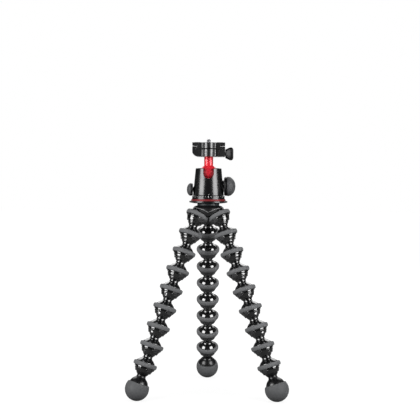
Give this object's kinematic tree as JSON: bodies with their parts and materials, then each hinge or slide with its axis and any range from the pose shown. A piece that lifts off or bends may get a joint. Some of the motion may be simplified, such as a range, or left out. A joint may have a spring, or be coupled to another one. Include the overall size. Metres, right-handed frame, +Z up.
{
  "type": "flexible leg tripod",
  "caption": "Tripod with legs of ball-and-socket links that bend and grip, a ball head with pan and tilt locks, and a quick release clamp and plate with a camera screw.",
  "frame": {"origin": "on the floor, under the middle of the box around the three feet and the head", "axes": "+Z up; the front of the head, with the notch, towards -Y; the main lock knob towards +X"},
  "size_m": [0.237, 0.21, 0.3799],
  "materials": {
    "link_shell": "gloss black moulding",
    "ring_rubber": "matte mid grey",
    "foot_rubber": "matte dark grey",
    "crown_paint": "satin black coating",
    "disc_paint": "matte dark grey coating",
    "steel": "turned",
    "base_black": "black anodised",
    "trim_red": "red anodised",
    "housing_black": "gloss black anodised",
    "cup_plastic": "natural",
    "ball_red": "polished red anodised",
    "brass": "turned",
    "knob_black": "fine ribbed black",
    "clamp_black": "black anodised",
    "pad_rubber": "ribbed black"
  },
  "bodies": {
    "crown": {"crown_body": "crown_paint", "crown_rings": "ring_rubber", "crown_disc": "disc_paint", "head_screw": "steel", "pan_base": "base_black", "trim_ring": "trim_red", "scale_ring": "base_black", "snap_ring": "steel"},
    "head": {"housing": "housing_black", "seat_cup": "cup_plastic", "pan_shoe": "brass"},
    "ball": {"ball_stem": "ball_red"},
    "clamp": {"clamp_body": "clamp_black", "clamp_bolt": "steel", "guide_pins": "steel"},
    "jaw": {"clamp_jaw": "clamp_black"},
    "clamp_knob": {"clamp_knob": "clamp_black", "clamp_screw": "steel"},
    "plate": {"camera_plate": "clamp_black", "plate_pads": "pad_rubber"},
    "camera_screw": {"camera_screw": "steel"},
    "lock_knob": {"lock_knob": "knob_black", "lock_shaft": "steel"},
    "pan_knob": {"pan_knob": "knob_black", "pan_shaft": "steel"},
    "left_link_1": {"left_link_1": "link_shell"},
    "left_link_2": {"left_link_2": "link_shell"},
    "left_link_3": {"left_link_3": "link_shell"},
    "left_link_4": {"left_link_4": "link_shell"},
    "left_link_5": {"left_link_5": "link_shell"},
    "left_link_6": {"left_link_6": "link_shell"},
    "left_link_7": {"left_link_7": "link_shell"},
    "left_link_8": {"left_link_8": "link_shell"},
    "left_foot": {"left_foot_ball": "link_shell", "left_foot_pad": "foot_rubber"},
    "right_link_1": {"right_link_1": "link_shell"},
    "right_link_2": {"right_link_2": "link_shell"},
    "right_link_3": {"right_link_3": "link_shell"},
    "right_link_4": {"right_link_4": "link_shell"},
    "right_link_5": {"right_link_5": "link_shell"},
    "right_link_6": {"right_link_6": "link_shell"},
    "right_link_7": {"right_link_7": "link_shell"},
    "right_link_8": {"right_link_8": "link_shell"},
    "right_foot": {"right_foot_ball": "link_shell", "right_foot_pad": "foot_rubber"},
    "rear_link_1": {"rear_link_1": "link_shell"},
    "rear_link_2": {"rear_link_2": "link_shell"},
    "rear_link_3": {"rear_link_3": "link_shell"},
    "rear_link_4": {"rear_link_4": "link_shell"},
    "rear_link_5": {"rear_link_5": "link_shell"},
    "rear_link_6": {"rear_link_6": "link_shell"},
    "rear_link_7": {"rear_link_7": "link_shell"},
    "rear_link_8": {"rear_link_8": "link_shell"},
    "rear_foot": {"rear_foot_ball": "link_shell", "rear_foot_pad": "foot_rubber"}
  },
  "joints": [
    {"name": "pan", "type": "hinge", "parent": "crown", "child": "head", "pos_m": [0, -0.02917, 0.29602], "axis": [0, 0, 1], "continuous": true},
    {"name": "tilt", "type": "hinge", "parent": "head", "child": "ball", "pos_m": [0, -0.02917, 0.32892], "axis": [1, 0, 0], "range_deg": [-22, 90]},
    {"name": "stem_spin", "type": "hinge", "parent": "ball", "child": "clamp", "pos_m": [0, -0.02917, 0.35372], "axis": [0, 0, 1], "continuous": true},
    {"name": "clamp_knob_turn", "type": "hinge", "parent": "jaw", "child": "clamp_knob", "pos_m": [0, -0.02917, 0.35832], "axis": [1, 0, 0], "range_deg": [0, 1350]},
    {"name": "jaw_slide", "type": "slide", "parent": "clamp", "child": "jaw", "axis": [1, 0, 0], "range_m": [0, 0.003]},
    {"name": "plate_slide", "type": "slide", "parent": "clamp", "child": "plate", "axis": [0, 1, 0], "range_m": [-0.012, 0.012]},
    {"name": "camera_screw_turn", "type": "hinge", "parent": "plate", "child": "camera_screw", "pos_m": [0, -0.02917, 0.37442], "axis": [0, 0, 1], "continuous": true},
    {"name": "lock_knob_turn", "type": "hinge", "parent": "head", "child": "lock_knob", "pos_m": [0, -0.02917, 0.30982], "axis": [1, 0, 0], "range_deg": [0, 270]},
    {"name": "pan_knob_turn", "type": "hinge", "parent": "head", "child": "pan_knob", "pos_m": [0, -0.02917, 0.30482], "axis": [-1, 0, 0], "range_deg": [0, 360]},
    {"name": "left_swing_1", "type": "hinge", "parent": "crown", "child": "left_link_1", "pos_m": [-0.01968, -0.04053, 0.25942], "axis": [-0.5, 0.866, 0], "range_deg": [-20, 39.5]},
    {"name": "left_sway_2", "type": "hinge", "parent": "left_link_1", "child": "left_link_2", "pos_m": [-0.02873, -0.04575, 0.23247], "axis": [-0.8074, -0.4662, 0.3616], "range_deg": [-30, 30]},
    {"name": "left_swing_3", "type": "hinge", "parent": "left_link_2", "child": "left_link_3", "pos_m": [-0.03778, -0.05098, 0.20553], "axis": [0.5, -0.866, 0], "range_deg": [-30, 30]},
    {"name": "left_sway_4", "type": "hinge", "parent": "left_link_3", "child": "left_link_4", "pos_m": [-0.04683, -0.0562, 0.17858], "axis": [0.8074, 0.4662, -0.3616], "range_deg": [-30, 30]},
    {"name": "left_swing_5", "type": "hinge", "parent": "left_link_4", "child": "left_link_5", "pos_m": [-0.05588, -0.06143, 0.15164], "axis": [-0.5, 0.866, 0], "range_deg": [-30, 30]},
    {"name": "left_sway_6", "type": "hinge", "parent": "left_link_5", "child": "left_link_6", "pos_m": [-0.06493, -0.06666, 0.1247], "axis": [-0.8074, -0.4662, 0.3616], "range_deg": [-30, 30]},
    {"name": "left_swing_7", "type": "hinge", "parent": "left_link_6", "child": "left_link_7", "pos_m": [-0.07398, -0.07188, 0.09775], "axis": [0.5, -0.866, 0], "range_deg": [-30, 30]},
    {"name": "left_sway_8", "type": "hinge", "parent": "left_link_7", "child": "left_link_8", "pos_m": [-0.08303, -0.07711, 0.07081], "axis": [0.8074, 0.4662, -0.3616], "range_deg": [-30, 30]},
    {"name": "left_swing_9", "type": "hinge", "parent": "left_link_8", "child": "left_foot", "pos_m": [-0.09208, -0.08233, 0.04386], "axis": [-0.5, 0.866, 0], "range_deg": [-30, 30]},
    {"name": "right_swing_1", "type": "hinge", "parent": "crown", "child": "right_link_1", "pos_m": [0.01968, -0.04053, 0.25942], "axis": [-0.5, -0.866, 0], "range_deg": [-20, 39.5]},
    {"name": "right_sway_2", "type": "hinge", "parent": "right_link_1", "child": "right_link_2", "pos_m": [0.02873, -0.04575, 0.23247], "axis": [0.8074, -0.4662, 0.3616], "range_deg": [-30, 30]},
    {"name": "right_swing_3", "type": "hinge", "parent": "right_link_2", "child": "right_link_3", "pos_m": [0.03778, -0.05098, 0.20553], "axis": [0.5, 0.866, 0], "range_deg": [-30, 30]},
    {"name": "right_sway_4", "type": "hinge", "parent": "right_link_3", "child": "right_link_4", "pos_m": [0.04683, -0.0562, 0.17858], "axis": [-0.8074, 0.4662, -0.3616], "range_deg": [-30, 30]},
    {"name": "right_swing_5", "type": "hinge", "parent": "right_link_4", "child": "right_link_5", "pos_m": [0.05588, -0.06143, 0.15164], "axis": [-0.5, -0.866, 0], "range_deg": [-30, 30]},
    {"name": "right_sway_6", "type": "hinge", "parent": "right_link_5", "child": "right_link_6", "pos_m": [0.06493, -0.06666, 0.1247], "axis": [0.8074, -0.4662, 0.3616], "range_deg": [-30, 30]},
    {"name": "right_swing_7", "type": "hinge", "parent": "right_link_6", "child": "right_link_7", "pos_m": [0.07398, -0.07188, 0.09775], "axis": [0.5, 0.866, 0], "range_deg": [-30, 30]},
    {"name": "right_sway_8", "type": "hinge", "parent": "right_link_7", "child": "right_link_8", "pos_m": [0.08303, -0.07711, 0.07081], "axis": [-0.8074, 0.4662, -0.3616], "range_deg": [-30, 30]},
    {"name": "right_swing_9", "type": "hinge", "parent": "right_link_8", "child": "right_foot", "pos_m": [0.09208, -0.08233, 0.04386], "axis": [-0.5, -0.866, 0], "range_deg": [-30, 30]},
    {"name": "rear_swing_1", "type": "hinge", "parent": "crown", "child": "rear_link_1", "pos_m": [0, -0.00645, 0.25942], "axis": [1, 0, 0], "range_deg": [-20, 39.5]},
    {"name": "rear_sway_2", "type": "hinge", "parent": "rear_link_1", "child": "rear_link_2", "pos_m": [0, 0.004, 0.23247], "axis": [0, 0.9323, 0.3616], "range_deg": [-30, 30]},
    {"name": "rear_swing_3", "type": "hinge", "parent": "rear_link_2", "child": "rear_link_3", "pos_m": [0, 0.01446, 0.20553], "axis": [-1, 0, 0], "range_deg": [-30, 30]},
    {"name": "rear_sway_4", "type": "hinge", "parent": "rear_link_3", "child": "rear_link_4", "pos_m": [0, 0.02491, 0.17858], "axis": [0, -0.9323, -0.3616], "range_deg": [-30, 30]},
    {"name": "rear_swing_5", "type": "hinge", "parent": "rear_link_4", "child": "rear_link_5", "pos_m": [0, 0.03536, 0.15164], "axis": [1, 0, 0], "range_deg": [-30, 30]},
    {"name": "rear_sway_6", "type": "hinge", "parent": "rear_link_5", "child": "rear_link_6", "pos_m": [0, 0.04581, 0.1247], "axis": [0, 0.9323, 0.3616], "range_deg": [-30, 30]},
    {"name": "rear_swing_7", "type": "hinge", "parent": "rear_link_6", "child": "rear_link_7", "pos_m": [0, 0.05626, 0.09775], "axis": [-1, 0, 0], "range_deg": [-30, 30]},
    {"name": "rear_sway_8", "type": "hinge", "parent": "rear_link_7", "child": "rear_link_8", "pos_m": [0, 0.06671, 0.07081], "axis": [0, -0.9323, -0.3616], "range_deg": [-30, 30]},
    {"name": "rear_swing_9", "type": "hinge", "parent": "rear_link_8", "child": "rear_foot", "pos_m": [0, 0.07716, 0.04386], "axis": [1, 0, 0], "range_deg": [-30, 30]}
  ],
  "couplings": [
    {"joint": "clamp_knob_turn", "follows": "jaw_slide", "rad_per_m": 7854}
  ]
}
